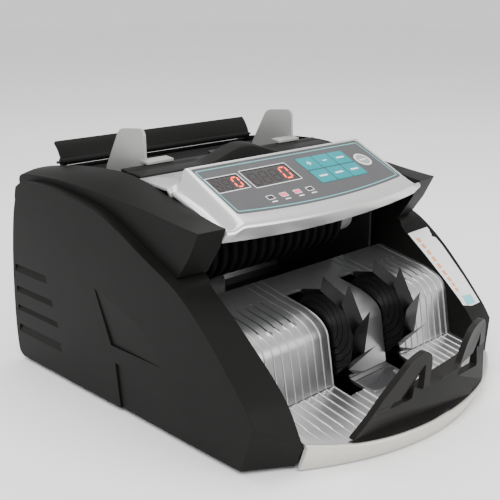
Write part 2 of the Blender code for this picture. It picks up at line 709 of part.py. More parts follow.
def build_panel():
    stations = [-FIT_HALF, -92, -89, -86, -83, -60, -40, -20, 0, 20, 40, 60, 83, 86, 89, 92,
                FIT_HALF]
    bezel = new_object("control_panel_bezel", loft([bezel_section(x) for x in stations]), "silver")
    panel_cut(bezel, prism_z(panel_outline(GAP), -8.0, 8.0))
    overlay = panel_object("keypad_overlay", prism_z(panel_outline(0.0), -OVERLAY_THICK, 0.0),
                           "overlay")
    for u0, u1, v0, v1 in [key_rectangle(*place) for place in KEYS.values()]:
        panel_cut(overlay, box(u0 - GAP, u1 + GAP, -v1 - GAP, -v0 + GAP, -4, 4))
    u, v, radius = START_KEY
    panel_cut(overlay, prism_z(circle((u, -v), radius + GAP), -4, 4))
    for u0, u1, v0, v1 in WINDOWS.values():
        panel_cut(overlay, box(u0 - GAP, u1 + GAP, -v1 - GAP, -v0 + GAP, -4, 4))
    for name, place in KEYS.items():
        u0, u1, v0, v1 = key_rectangle(*place)
        panel_object(name, box(u0, u1, -v1, -v0, -2.2, 0.25), "key")
    panel_object("start_key", prism_z(circle((u, -v), radius), -2.2, 0.4), "start")
    for name, (u0, u1, v0, v1) in WINDOWS.items():
        panel_object(name, box(u0, u1, -v1, -v0, -3.6, -0.3), "display")
    panel_object("panel_board", box(-76, 76, -45, -3, -5.6, -4.0), "board")


def build():
    clear_scene()
    build_base()
    build_side_cover("left_side_cover", -1)
    build_side_cover("right_side_cover", 1)
    build_rear()
    build_tray()
    build_note_stop()
    build_stacker_plate()
    build_stacker()
    build_frame()
    build_feed_train()
    build_drives()
    build_electrics()
    build_hopper()
    build_panel()


build()
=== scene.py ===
"""Banknote counting machine: the visible surfaces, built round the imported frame."""

import math

import bmesh
import bpy
from mathutils import Matrix, Vector


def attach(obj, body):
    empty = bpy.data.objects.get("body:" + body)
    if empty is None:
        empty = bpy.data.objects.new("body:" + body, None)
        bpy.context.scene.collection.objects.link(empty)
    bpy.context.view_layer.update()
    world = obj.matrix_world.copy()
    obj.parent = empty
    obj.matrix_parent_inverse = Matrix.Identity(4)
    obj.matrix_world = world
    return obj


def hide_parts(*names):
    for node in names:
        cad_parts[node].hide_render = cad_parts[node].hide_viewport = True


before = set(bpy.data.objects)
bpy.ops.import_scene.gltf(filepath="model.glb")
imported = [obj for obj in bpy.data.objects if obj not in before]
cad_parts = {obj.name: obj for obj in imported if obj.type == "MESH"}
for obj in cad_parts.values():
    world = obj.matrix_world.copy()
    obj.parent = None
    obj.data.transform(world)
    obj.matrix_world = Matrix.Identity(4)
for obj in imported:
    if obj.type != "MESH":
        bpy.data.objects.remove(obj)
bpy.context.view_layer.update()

MM = 0.001

# ------------------------------------------------- sizes in mm, as in the CAD
HALF_WIDTH = 122.5               # outer face of the side covers
SHOULDER_HALF = 115.7            # recessed upper part of the side covers
INNER_HALF = 95.5                # inner wall of the side covers
FIT_HALF = 95.2                  # pieces that span between the covers

PANEL_TILT = math.radians(25.5)
PANEL_REAR = (-6.0, 156.6)       # rear edge of the key panel (Y, Z)
PANEL_HALF = 80.2
PANEL_DEPTH = 46.1
PANEL_BOW = 5.5                  # how far the front edge of the panel bulges
PANEL = Matrix.Translation(Vector((0.0, *PANEL_REAR))) @ Matrix.Rotation(PANEL_TILT, 4, "X")

STACKER_AXIS = (-73.0, 54.9)
STACKER_LEAVES = 10
LEAF_TIP = 34.5                  # radius of the sharp corner of each leaf
LEAF_HEEL = 29.0                 # radius of its blunt corner
WHEEL_X = (20.0, 33.0)
SLOT_X = (19.0, 34.4)            # openings the stacker wheels reach through
DRUM_AXIS = (2.0, 103.0)
DRUM_RADIUS = 21.0
GUIDE_X = 71.5
RIB_PITCH = 7.0
RIBS = [35.2 + RIB_PITCH * i for i in range(9)]
SLOTTED_RIBS = RIBS[3:8]         # ribs that give way to slits on the deck
SLIT_HALF = 0.65
TRAY_REAR = (-86.3, 24.8)
TRAY_SLOPE = 0.2
LIP_FOOT = 0.8                   # height of the lip's lower edge
LIP_ROUND = 2.2                  # radius along the lip's upper edge
TRAY_THICK = 2.0
SENSOR_FRONT = -107.5


# ------------------------------------------------------------------ materials
def node_material(name):
    material = bpy.data.materials.new(name)
    material.use_nodes = True
    nodes = material.node_tree.nodes
    return material, nodes, material.node_tree.links, nodes["Principled BSDF"]


def noise(nodes, links, size_mm, detail, stretch=(1.0, 1.0, 1.0)):
    """Noise texture whose grains are about size_mm across, in object space."""
    coords = nodes.new("ShaderNodeTexCoord")
    mapping = nodes.new("ShaderNodeMapping")
    mapping.inputs["Scale"].default_value = stretch
    texture = nodes.new("ShaderNodeTexNoise")
    texture.inputs["Scale"].default_value = 1.0 / (size_mm * MM)
    texture.inputs["Detail"].default_value = detail
    links.new(coords.outputs["Object"], mapping.inputs["Vector"])
    links.new(mapping.outputs["Vector"], texture.inputs["Vector"])
    return texture


def surface(name, colour, roughness, metallic=0.0, grain=0.6, bump=0.15, depth=0.03,
            spread=0.06, patch=25.0, stretch=(1.0, 1.0, 1.0), coat=0.0, specular=0.5, vary=0.07):
    """Procedural finish: grained bump, uneven gloss and a faint drift of tone."""
    material, nodes, links, shader = node_material(name)
    shader.inputs["Metallic"].default_value = metallic
    shader.inputs["Coat Weight"].default_value = coat
    shader.inputs["Coat Roughness"].default_value = 0.12
    shader.inputs["Specular IOR Level"].default_value = specular
    fine = noise(nodes, links, grain, 3.0, stretch)
    broad = noise(nodes, links, patch, 4.0)
    ramp = nodes.new("ShaderNodeValToRGB")
    dark = [c * (1.0 - spread) for c in colour]
    pale = [min(1.0, c * (1.0 + spread)) for c in colour]
    ramp.color_ramp.elements[0].position = 0.3
    ramp.color_ramp.elements[1].position = 0.7
    ramp.color_ramp.elements[0].color = (*dark, 1.0)
    ramp.color_ramp.elements[1].color = (*pale, 1.0)
    links.new(broad.outputs["Fac"], ramp.inputs["Fac"])
    links.new(ramp.outputs["Color"], shader.inputs["Base Color"])
    gloss = nodes.new("ShaderNodeMapRange")
    gloss.inputs["To Min"].default_value = max(0.02, roughness - vary)
    gloss.inputs["To Max"].default_value = min(1.0, roughness + vary)
    links.new(fine.outputs["Fac"], gloss.inputs["Value"])
    links.new(gloss.outputs["Result"], shader.inputs["Roughness"])
    relief = nodes.new("ShaderNodeBump")
    relief.inputs["Strength"].default_value = bump
    relief.inputs["Distance"].default_value = depth * MM
    links.new(fine.outputs["Fac"], relief.inputs["Height"])
    links.new(relief.outputs["Normal"], shader.inputs["Normal"])
    return material


def glowing(name, colour, strength):
    material = surface(name, colour, 0.35, grain=0.8, bump=0.02)
    shader = material.node_tree.nodes["Principled BSDF"]
    shader.inputs["Emission Color"].default_value = (*colour, 1.0)
    shader.inputs["Emission Strength"].default_value = strength
    return material


SHELL = surface("shell", (0.0062, 0.006, 0.0056), 0.48, grain=0.55, bump=0.3, depth=0.04,
                specular=0.1)
BLACK = surface("black_moulding", (0.0045, 0.0045, 0.0045), 0.5, grain=0.5, bump=0.3,
                specular=0.12)
LEAF = surface("leaf_plastic", (0.003, 0.003, 0.0032), 0.3, grain=0.8, bump=0.1, specular=0.2)
STOP = surface("stop_plastic", (0.0085, 0.0078, 0.0072), 0.45, grain=0.6, bump=0.2, specular=0.15)
SILVER = surface("silver_lacquer", (0.68, 0.68, 0.675), 0.28, metallic=0.75, grain=0.3,
                 bump=0.02, depth=0.005, spread=0.02, vary=0.02)
PLATE = surface("plate_lacquer", (0.5, 0.5, 0.5), 0.33, metallic=0.95, grain=0.4, bump=0.01,
                depth=0.004, spread=0.02, vary=0.015)
# Darker, beige, less metallic copy of the tray's lacquer: painted shade for the lip's lower front face.
LIP_PAINTED_SHADE = surface("lip_painted_shade", (0.56, 0.54, 0.49), 0.42, metallic=0.55, grain=0.3, bump=0.15,
              depth=0.01, spread=0.03)
GUIDE = surface("guide_lacquer", (0.4, 0.4, 0.385), 0.42, metallic=0.5, grain=0.3, bump=0.15,
                depth=0.01, spread=0.04)
OVERLAY = surface("membrane", (0.075, 0.075, 0.078), 0.45, grain=0.35, bump=0.1, depth=0.01,
                  specular=0.25)
KEY = surface("teal_print", (0.01, 0.24, 0.27), 0.45, grain=0.35, bump=0.1, depth=0.01,
              specular=0.2)
TEAL_LINE = surface("teal_line", (0.14, 0.4, 0.42), 0.45, grain=0.4, bump=0.1, depth=0.01)
START = surface("start_print", (0.3, 0.31, 0.31), 0.4, grain=0.35, bump=0.12, depth=0.01)
WHITE = surface("white_print", (0.75, 0.75, 0.74), 0.45, grain=0.4, bump=0.1, depth=0.01)
PANE = surface("tinted_pane", (0.005, 0.004, 0.004), 0.12, grain=2.0, bump=0.02, coat=0.6)
TINT = surface("tinted_window", (0.05, 0.05, 0.052), 0.1, grain=3.0, bump=0.04, coat=0.8)
RUBBER = surface("rubber", (0.0035, 0.0035, 0.0035), 0.75, grain=0.7, bump=0.5, depth=0.06,
                 specular=0.06)
GREY = surface("grey_moulding", (0.2, 0.205, 0.21), 0.5, grain=0.6, bump=0.2)
STEEL = surface("bright_steel", (0.5, 0.5, 0.5), 0.32, metallic=1.0, grain=0.4, bump=0.15,
                depth=0.01, stretch=(0.1, 1.0, 1.0))
# Near-black steel: on the frame plates this colour is painted shade for the dark inside of the case;
# the hinge pin shares it.
DARK_STEEL_AND_SHADE = surface("dark_steel_and_painted_shade", (0.02, 0.02, 0.02), 0.45, metallic=0.4, grain=0.5,
                     bump=0.2)
BOARD = surface("circuit_board", (0.02, 0.13, 0.05), 0.4, grain=1.6, bump=0.4, spread=0.25,
                patch=3.0)
VIOLET = surface("lamp_glass", (0.2, 0.17, 0.42), 0.12, grain=4.0, bump=0.03, coat=0.5)
PAPER = surface("label_paper", (0.72, 0.74, 0.72), 0.55, grain=0.5, bump=0.15)
ORANGE = surface("label_orange", (0.75, 0.32, 0.14), 0.5, grain=0.5, bump=0.1)
LABEL_TEAL = surface("label_teal", (0.2, 0.55, 0.6), 0.5, grain=0.5, bump=0.1)
RED_GLOW = glowing("red_segments", (1.0, 0.07, 0.02), 2.4)
RED_UNLIT = surface("unlit_segments", (0.022, 0.01, 0.01), 0.4, grain=0.8, bump=0.05)
PINK_GLOW = glowing("pink_indicator", (0.9, 0.07, 0.17), 0.6)


# --------------------------------------------------------------- mesh helpers
def loft(sections, closed=False):
    """Solid through rings of 3-D points that all have the same count."""
    bm = bmesh.new()
    rings = [[bm.verts.new(point) for point in ring] for ring in sections]
    pairs = list(zip(rings, rings[1:]))
    if closed:
        pairs.append((rings[-1], rings[0]))
    count = len(rings[0])
    for first, second in pairs:
        for i in range(count):
            j = (i + 1) % count
            bm.faces.new((first[i], first[j], second[j], second[i]))
    if not closed:
        bm.faces.new(rings[0])
        bm.faces.new(rings[-1])
    bm.normal_update()
    bmesh.ops.recalc_face_normals(bm, faces=bm.faces)
    return bm


def prism_x(outline, x0, x1):
    return loft([[(x, y, z) for y, z in outline] for x in (x0, x1)])


def prism_z(outline, z0, z1):
    return loft([[(x, y, z) for x, y in outline] for z in (z0, z1)])


def box(x0, x1, y0, y1, z0, z1):
    return prism_z([(x0, y0), (x1, y0), (x1, y1), (x0, y1)], z0, z1)


def circle(centre, radius, segments=48):
    steps = [2 * math.pi * i / segments for i in range(segments)]
    return [(centre[0] + radius * math.cos(a), centre[1] + radius * math.sin(a)) for a in steps]


def turned_x(axis, profile, segments=64):
    """Turn a closed (x, r) profile about a line parallel to X."""
    rings = []
    for i in range(segments):
        angle = 2 * math.pi * i / segments
        rings.append([
            (x, axis[0] + r * math.cos(angle), axis[1] + r * math.sin(angle)) for x, r in profile
        ])
    return loft(rings, closed=True)


def spline(points, per=6):
    """Catmull-Rom curve through an open list of points."""
    result = []
    for i in range(len(points) - 1):
        p0 = Vector(points[max(0, i - 1)])
        p1 = Vector(points[i])
        p2 = Vector(points[i + 1])
        p3 = Vector(points[min(len(points) - 1, i + 2)])
        for k in range(per):
            t = k / per
            result.append(tuple(0.5 * (
                2 * p1 + (p2 - p0) * t + (2 * p0 - 5 * p1 + 4 * p2 - p3) * t * t
                + (3 * p1 - p0 - 3 * p2 + p3) * t ** 3
            )))
    result.append(tuple(points[-1]))
    return result


def rounded(outline, radius, steps=5):
    """Closed outline with every corner turned into an arc-like curve."""
    result = []
    count = len(outline)
    for i in range(count):
        here = Vector(outline[i])
        back = Vector(outline[i - 1]) - here
        ahead = Vector(outline[(i + 1) % count]) - here
        reach = min(radius, 0.45 * back.length, 0.45 * ahead.length)
        start = here + back.normalized() * reach
        end = here + ahead.normalized() * reach
        for k in range(steps + 1):
            t = k / steps
            result.append(tuple(start * (1 - t) ** 2 + here * 2 * t * (1 - t) + end * t * t))
    return result


def refine(outline, longest):
    """Split the long edges of a closed outline so that it bends smoothly."""
    result = []
    for here, after in zip(outline, outline[1:] + outline[:1]):
        steps = max(1, math.ceil(abs(after[0] - here[0]) / longest))
        for i in range(steps):
            t = i / steps
            result.append((here[0] + (after[0] - here[0]) * t, here[1] + (after[1] - here[1]) * t))
    return result


def offset(line, distance):
    """Open line of (y, z) points moved to its left, with mitred corners."""
    moved = []
    last = len(line) - 1
    for i, point in enumerate(line):
        here = Vector(point)
        into = (here - Vector(line[i - 1])).normalized() if i else (Vector(line[1]) - here).normalized()
        away = (Vector(line[i + 1]) - here).normalized() if i < last else into
        normal = Vector((-into.y, into.x))
        bisector = (normal + Vector((-away.y, away.x))).normalized()
        moved.append(tuple(here + bisector * (distance / max(0.4, bisector.dot(normal)))))
    return moved


def strip(line, thickness):
    return list(line) + offset(line, thickness)[::-1]


def make(name, bm, material, place=None, smooth=35.0):
    """Object from a bmesh in millimetres; `place` maps it to the machine first."""
    for vert in bm.verts:
        co = place @ vert.co if place else vert.co
        vert.co = co * MM
    mesh = bpy.data.meshes.new(name)
    bm.to_mesh(mesh)
    bm.free()
    mesh.shade_smooth()
    mesh.set_sharp_from_angle(angle=math.radians(smooth))
    mesh.materials.append(material)
    obj = bpy.data.objects.new(name, mesh)
    bpy.context.collection.objects.link(obj)
    return obj


def apply_modifiers(obj):
    graph = bpy.context.evaluated_depsgraph_get()
    mesh = bpy.data.meshes.new_from_object(obj.evaluated_get(graph))
    obj.modifiers.clear()
    obj.data = mesh


def bake(obj, smooth=35.0):
    """Apply an object's modifiers to its mesh and shade it smooth between sharp edges."""
    apply_modifiers(obj)
    obj.data.shade_smooth()
    obj.data.set_sharp_from_angle(angle=math.radians(smooth))


def combine(obj, tools, operation="DIFFERENCE", place=None):
    """Boolean a list of bmesh tools into an object, one after another."""
    for bm in tools:
        tool = make("tool", bm, obj.data.materials[0], place)
        modifier = obj.modifiers.new("boolean", "BOOLEAN")
        modifier.operation = operation
        modifier.solver = "EXACT"
        modifier.object = tool
        bake(obj)
        bpy.data.objects.remove(tool, do_unlink=True)


def soften(obj, width, segments=3, angle=30.0, smooth=35.0):
    """Round the sharp edges of an object and apply it."""
    modifier = obj.modifiers.new("bevel", "BEVEL")
    modifier.width = width * MM
    modifier.segments = segments
    modifier.limit_method = "ANGLE"
    modifier.angle_limit = math.radians(angle)
    modifier.use_clamp_overlap = True
    bake(obj, smooth)


def weight_normals(obj):
    """Let large faces rule the shading, so that flat ones look flat."""
    modifier = obj.modifiers.new("normals", "WEIGHTED_NORMAL")
    modifier.keep_sharp = True
    apply_modifiers(obj)


def finish_piece(obj, body="chassis", nodes=()):
    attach(obj, body)
    if nodes:
        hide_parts(*nodes)
    return obj


# --------------------------------------------------------------- side covers
REAR_EDGE = [(138.0, 3.0), (142.9, 6.0), (144.8, 14.2), (145.7, 38.2), (143.7, 75.0),
             (138.9, 107.5), (133.9, 123.7)]
RIDGE_OUTER = [(131.5, 132.0), (119.5, 137.3), (89.5, 138.0), (62.5, 135.3), (37.0, 131.2),
               (13.2, 122.1), (-9.3, 111.3), (-30.8, 101.6), (-43.2, 94.6), (-61.0, 80.4),
               (-80.2, 61.0), (-93.2, 46.3), (-98.5, 39.8), (-103.0, 32.8)]
RIDGE_INNER = [(131.5, 132.0), (119.5, 137.3), (89.5, 138.0), (62.5, 135.3), (37.0, 131.2),
               (13.2, 122.1), (-9.3, 111.3), (-36.0, 101.0), (-41.5, 93.6), (-61.0, 78.2),
               (-80.2, 62.0), (-93.2, 50.3), (-104.9, 36.9), (-116.0, 15.8)]
TOP_OUTER = [(134.2, 126.0), (137.0, 131.5), (137.0, 137.0), (133.0, 139.8), (124.0, 141.0),
             (85.9, 142.4), (51.0, 141.0), (26.0, 139.4), (-2.0, 137.6), (-23.9, 135.0),
             (-40.5, 133.2), (-52.6, 132.1)]
TOP_INNER = [(134.2, 126.0), (137.0, 131.5), (137.2, 137.8), (133.4, 141.9), (124.0, 144.4),
             (88.0, 149.3), (48.0, 151.3), (24.0, 149.3), (1.0, 143.9), (-21.0, 138.7),
             (-41.5, 133.8), (-53.8, 131.8)]
VISOR_OUTER = [(-44.1, 115.9), (-34.3, 102.3), (0.0, 92.0), (120.0, 92.0), (130.0, 118.0)]
VISOR_INNER = [(-48.0, 118.5), (-37.4, 102.6), (0.0, 92.0), (120.0, 92.0), (130.0, 118.0)]
LOUVRES = [(74.0, 68.5), (57.5, 53.0), (43.0, 39.0), (28.0, 22.0)]
REAR_ZONE = [(131.2, 120.8), (109.5, 97.7), (97.5, 74.9), (86.1, 45.0), (79.5, 12.0), (78.0, 0.0)]


def zone_edge(z):
    """Y of the line between the rear zone and the rest of the side, at height z."""
    for (ya, za), (yb, zb) in zip(REAR_ZONE, REAR_ZONE[1:]):
        if zb <= z <= za:
            return ya + (yb - ya) * (za - z) / (za - zb)
    return REAR_ZONE[0][0]


def sloped_cut(side, outline, depths):
    """Tool for a shallow recess whose depth differs from corner to corner."""
    floor = [(side * (HALF_WIDTH - d), y, z) for (y, z), d in zip(outline, depths)]
    lid = [(side * (HALF_WIDTH + 3.0), y, z) for y, z in outline]
    return loft([floor, lid])


def side_details(side):
    """Louvres, the rear zone's step and the two sail-shaped recesses."""
    tools = []
    rear = spline(REAR_ZONE, 4)
    outline = rear + [(150.0, 0.0), (150.0, 128.0), (136.0, 128.0)]
    tools.append(sloped_cut(side, outline, [0.45] * len(rear) + [0.7] * 3))
    for top, bottom in LOUVRES:
        edge = zone_edge(0.5 * (top + bottom)) + 3.0
        outline = [(edge, bottom), (edge + 1.5, top), (140.6, top), (141.4, bottom)]
        tools.append(sloped_cut(side, outline, [0.7, 2.4, 2.4, 0.7]))
    bow = spline([(-23.9, 44.7), (-11.1, 60.8), (12.0, 71.5), (41.5, 79.0)], 4)
    outline = bow + [(26.2, 44.5)]
    tools.append(sloped_cut(side, outline, [0.12] * (len(bow) - 1) + [0.5, 1.5]))
    stem = [(22.5, 33.3), (-32.5, 33.5), (-62.0, 1.0), (18.2, 1.0)]
    tools.append(sloped_cut(side, stem, [1.3, 0.12, 0.02, 1.3]))
    return tools


def build_side_cover(name, side, node):
    bottom_outer = [(-93.0, 3.0)]
    bottom_inner = [(-110.0, 3.0)]
    rear = spline(REAR_EDGE, 4)
    outer = rear + spline(RIDGE_OUTER, 5) + bottom_outer
    inner = rear + spline(RIDGE_INNER, 5) + bottom_inner
    cover = make(name, loft([
        [(side * INNER_HALF, y, z) for y, z in inner],
        [(side * (INNER_HALF + (HALF_WIDTH - INNER_HALF) * 0.5), (a[0] + b[0]) / 2,
          (a[1] + b[1]) / 2) for a, b in zip(inner, outer)],
        [(side * HALF_WIDTH, y, z) for y, z in outer],
    ]), SHELL)
    rows = 5
    sections = []
    top_in = spline(TOP_INNER, 5) + VISOR_INNER
    top_out = spline(TOP_OUTER, 5) + VISOR_OUTER
    for i in range(rows + 1):
        t = i / rows
        x = INNER_HALF + (SHOULDER_HALF - INNER_HALF) * t
        swell = 1.1 * math.sin(math.pi * t)
        ring = []
        for a, b in zip(top_in, top_out):
            y = a[0] + (b[0] - a[0]) * t
            z = a[1] + (b[1] - a[1]) * t
            lift = swell if z > 130.0 and y > -30.0 else 0.0
            ring.append((side * x, y, z + lift))
        sections.append(ring)
    combine(cover, [loft(sections)], "UNION")
    soften(cover, 1.6, 3, angle=28.0)
    pocket = [(136.0, -2.0), (139.0, 60.0), (128.0, 118.0), (60.0, 128.0), (0.0, 108.0),
              (-52.0, 78.0), (-86.0, 38.0), (-86.0, -2.0)]
    combine(cover, [prism_x(pocket, side * (INNER_HALF + 3.0), side * (HALF_WIDTH - 4.0))])
    combine(cover, side_details(side))
    weight_normals(cover)
    return finish_piece(cover, nodes=[node])


def band_point(side, across, along, lift=0.0):
    """Point on the front band of a cover: across 0..1 outwards, along 0..1 down."""
    last = len(RIDGE_OUTER) - 1
    first = 7
    place = first + (last - first) * along
    k = min(last - 1, int(place))
    t = place - k
    inner = Vector(RIDGE_INNER[k]).lerp(Vector(RIDGE_INNER[k + 1]), t)
    outer = Vector(RIDGE_OUTER[k]).lerp(Vector(RIDGE_OUTER[k + 1]), t)
    point = inner.lerp(outer, across)
    slope = (Vector(RIDGE_OUTER[k + 1]) - Vector(RIDGE_OUTER[k])).normalized()
    point += Vector((slope.y, -slope.x)) * lift
    x = INNER_HALF + (HALF_WIDTH - INNER_HALF) * across
    return (side * x, point.x, point.y)


def band_patch(name, material, across, along, lift, thick=0.12):
    """Thin sheet that lies on the right cover's front band."""
    rows = 24
    sections = []
    for i in range(rows + 1):
        s = along[0] + (along[1] - along[0]) * i / rows
        low = [band_point(1, a, s, lift) for a in across]
        high = [band_point(1, a, s, lift + thick) for a in across[::-1]]
        sections.append(low + high)
    return finish_piece(make(name, loft(sections), material))


def build_label():
    band_patch("label", PAPER, (0.02, 0.86), (0.2, 0.73), 0.12)
    for i in range(9):
        start = 0.24 + 0.041 * i
        band_patch(f"label_dash_{i}", ORANGE, (0.14, 0.27), (start, start + 0.028), 0.27, 0.05)
    band_patch("label_bar", WHITE, (0.45, 0.55), (0.26, 0.56), 0.27, 0.05)
    band_patch("label_square", LABEL_TEAL, (0.2, 0.66), (0.635, 0.715), 0.27, 0.05)


# ------------------------------------------------------------------ rear cover
REAR_PANEL = [(140.2, 6.3), (143.2, 9.0), (144.6, 14.2), (145.5, 38.2), (143.5, 75.0),
              (138.7, 107.5), (134.2, 123.7), (136.6, 130.5), (137.0, 136.2), (134.6, 139.6),
              (130.0, 141.6), (124.5, 143.0)]


def build_rear():
    line = spline(REAR_PANEL, 5)
    cover = make("rear_shell", prism_x(strip(line, 2.4), -FIT_HALF, FIT_HALF), SHELL)
    soften(cover, 0.5, 2)
    tools = [box(-76, -48, 135, 150, 16.5, 37.5), box(-37.5, -22.5, 135, 150, 16, 38)]
    for row in range(5):
        z = 58.0 + 7.0 * row
        for side in (-1, 1):
            x0, x1 = sorted((side * 14.0, side * 66.0))
            slot = rounded([(x0, z), (x1, z), (x1, z + 3.0), (x0, z + 3.0)], 1.4, 4)
            tools.append(loft([[(x, y, h) for x, h in slot] for y in (136.0, 150.0)]))
    combine(cover, tools)
    finish_piece(cover, nodes=["rear_cover"])


# ------------------------------------------------- tray, lip, note stop, plate
def lip_foot(x):
    """Y of the lip's lower edge, distance x from the middle."""
    return -142.2 + 0.0032 * x * x


def lip_brow(x):
    """Y of the tray's front edge, distance x from the middle."""
    return -145.8 + 0.0021 * x * x + 1.0e-7 * x ** 4


def tray_height(y):
    return TRAY_REAR[1] + TRAY_SLOPE * (y - TRAY_REAR[0])


def rib_stations(half, ribs, gap_mm=3.0):
    """Sorted (x, height, rib) stations with a raised, rounded rib at each place in `ribs`."""
    stations = {}
    x = -half
    while x < half:
        stations[round(x, 3)] = (0.0, 0.0)
        x += gap_mm
    stations[half] = (0.0, 0.0)
    profile = ((-0.62, 0.0), (-0.36, 0.42), (0.0, 0.56), (0.36, 0.42), (0.62, 0.0))
    for place in [s * r for r in ribs for s in (-1, 1)]:
        for key in list(stations):
            if abs(key - place) < 0.7 and abs(key) < half:
                del stations[key]
        for shift, height in profile:
            stations[round(place + shift, 3)] = (height, abs(place))
    return [(x, height, rib) for x, (height, rib) in sorted(stations.items())]


def tray_ring(x, rib):
    """Section of the tray and its curved lip at one distance from the middle."""
    foot = lip_foot(x)
    brow = lip_brow(x)
    top = tray_height(brow)
    rib_end = min(brow + 17.0, -92.0)
    rib_top = rib_end + 2.0
    flat = brow + 4.0
    ring = [(x, TRAY_REAR[0], TRAY_REAR[1] + rib), (x, rib_top, tray_height(rib_top) + rib),
            (x, rib_end, tray_height(rib_end)), (x, flat, tray_height(flat))]
    for k in range(7):
        turn = math.radians(90.0 * k / 6)
        ring.append((x, brow + LIP_ROUND * (1.0 - math.sin(turn)),
                     top + 0.35 - LIP_ROUND * (1.0 - math.cos(turn))))
    ring += [(x, foot + 0.2, LIP_FOOT + 0.6), (x, foot + 0.7, LIP_FOOT), (x, foot + 2.2, LIP_FOOT),
             (x, brow + 2.6, top - 2.4), (x, TRAY_REAR[0], TRAY_REAR[1] - TRAY_THICK)]
    return ring


def build_tray():
    ribs = [RIBS[0] - 2.0 * RIB_PITCH, RIBS[0] - RIB_PITCH] + RIBS
    sections = [tray_ring(x, height) for x, height, _ in rib_stations(FIT_HALF, ribs)]
    tray = make("tray_and_lip", loft(sections), PLATE)
    low, high = SLOT_X
    tools = []
    for side in (-1, 1):
        x0, x1 = sorted((side * low, side * high))
        tools.append(box(x0, x1, -99.5, -80, 10, 40))
    tools.append(box(-low + 0.8, low - 0.8, SENSOR_FRONT, -90, 10, 40))
    combine(tray, tools)
    # Painted shade: the lip's forward-facing lower faces take the darker material, and the rest of the
    # same sheet keeps the plate lacquer.
    tray.data.materials.append(LIP_PAINTED_SHADE)
    for face in tray.data.polygons:
        centre = face.center / MM
        if face.normal.y < -0.35 and centre.y < lip_foot(centre.x) + 1.5:
            face.material_index = 1
    finish_piece(tray, nodes=["front_tray"])
    pane = []
    for y, rise in ((-90.3, -0.3), (-104.5, 0.2), (SENSOR_FRONT + 0.3, -0.3)):
        pane.append((y, tray_height(y) + rise))
    window = make("sensor_pane", prism_x(pane + [(y, z - 3.0) for y, z in pane[::-1]],
                                         -low + 1.1, low - 1.1), TINT)
    soften(window, 0.5, 3)
    finish_piece(window, nodes=["sensor_window"])


STACKER_LINE = [(-86.6, 25.3), (-84.0, 40.0), (-81.6, 53.6), (-80.6, 58.0), (-78.2, 62.2),
                (-74.2, 65.6), (-68.5, 68.3), (-61.5, 70.6), (-49.3, 73.0), (-34.9, 76.0),
                (-21.5, 78.8)]


def build_stacker_plate():
    line = spline(STACKER_LINE, 4)
    under = offset(line, -TRAY_THICK)
    sections = []
    for x, height, rib in rib_stations(FIT_HALF, RIBS):
        slotted = rib in SLOTTED_RIBS
        top = []
        for i, (y, z) in enumerate(offset(line, height)):
            flat = smoothstep((y + 74.0) / 5.0) if slotted else 0.0
            top.append((y + (line[i][0] - y) * flat, z + (line[i][1] - z) * flat))
        top[0] = (top[0][0] - 0.1 * height, line[0][1])
        sections.append([(x, y, z) for y, z in top + under[::-1]])
    plate = make("ribbed_plate", loft(sections), PLATE)
    low, high = SLOT_X
    tools = []
    for side in (-1, 1):
        x0, x1 = sorted((side * low, side * high))
        tools.append(box(x0, x1, -100, -42, 10, 100))
        for rib in SLOTTED_RIBS:
            left = side * rib - SLIT_HALF
            right = side * rib + SLIT_HALF
            slit = rounded([(left, -69), (right, -69), (right, -41), (left, -41)], 0.55, 3)
            tools.append(prism_z(slit, 60, 90))
    combine(plate, tools)
    finish_piece(plate, nodes=["stacker_plate"])


STOP_OUTLINE = [
    (-72.0, 0.0), (-62.8, 11.0), (-53.3, 23.3), (-42.9, 33.6), (-34.6, 41.4), (-29.5, 44.2),
    (-21.1, 47.0), (-16.2, 44.0), (-14.8, 39.0), (-15.8, 31.5), (-16.9, 23.7), (-6.0, 23.9),
    (-2.0, 24.9), (8.0, 25.4), (16.0, 26.2), (20.0, 33.0), (25.0, 39.5), (31.0, 44.5),
    (38.0, 46.5), (50.0, 46.0), (55.5, 41.0), (54.5, 24.0), (58.0, 0.0),
]
STOP_WINDOWS = [
    [(-43.5, 14.2), (-21.5, 14.0), (-21.0, 39.0)],
    [(24.0, 14.6), (46.0, 14.8), (46.5, 38.0)],
]
STOP_FRONT = 0.7                 # setback of the stop from the tray's front edge
STOP_THICK = 4.2
STOP_LIFT = 1.45                 # its lower edge above the tray's front edge
STOP_RECESS = 1.5                # deepest recess of the bridge between the ears
STOP_NOTCHES = [
    [(-32.4, -3.0), (-30.8, -3.0), (-30.8, 7.0), (-32.4, 6.2)],
    [(38.2, -3.0), (39.8, -3.0), (39.8, 7.0), (38.2, 6.2)],
]
STOP_BRIDGE = [(-12.0, -4.0), (8.0, -4.0), (8.5, 16.0), (15.0, 24.2), (15.0, 40.0), (-12.0, 40.0)]


def bend_to_lip(outline, setback):
    """Wrap an (x, height) outline on to the lip, `setback` behind its upper edge."""
    points = []
    for x, height in outline:
        brow = lip_brow(x)
        points.append((x, brow + setback, tray_height(brow) + STOP_LIFT + height))
    return points


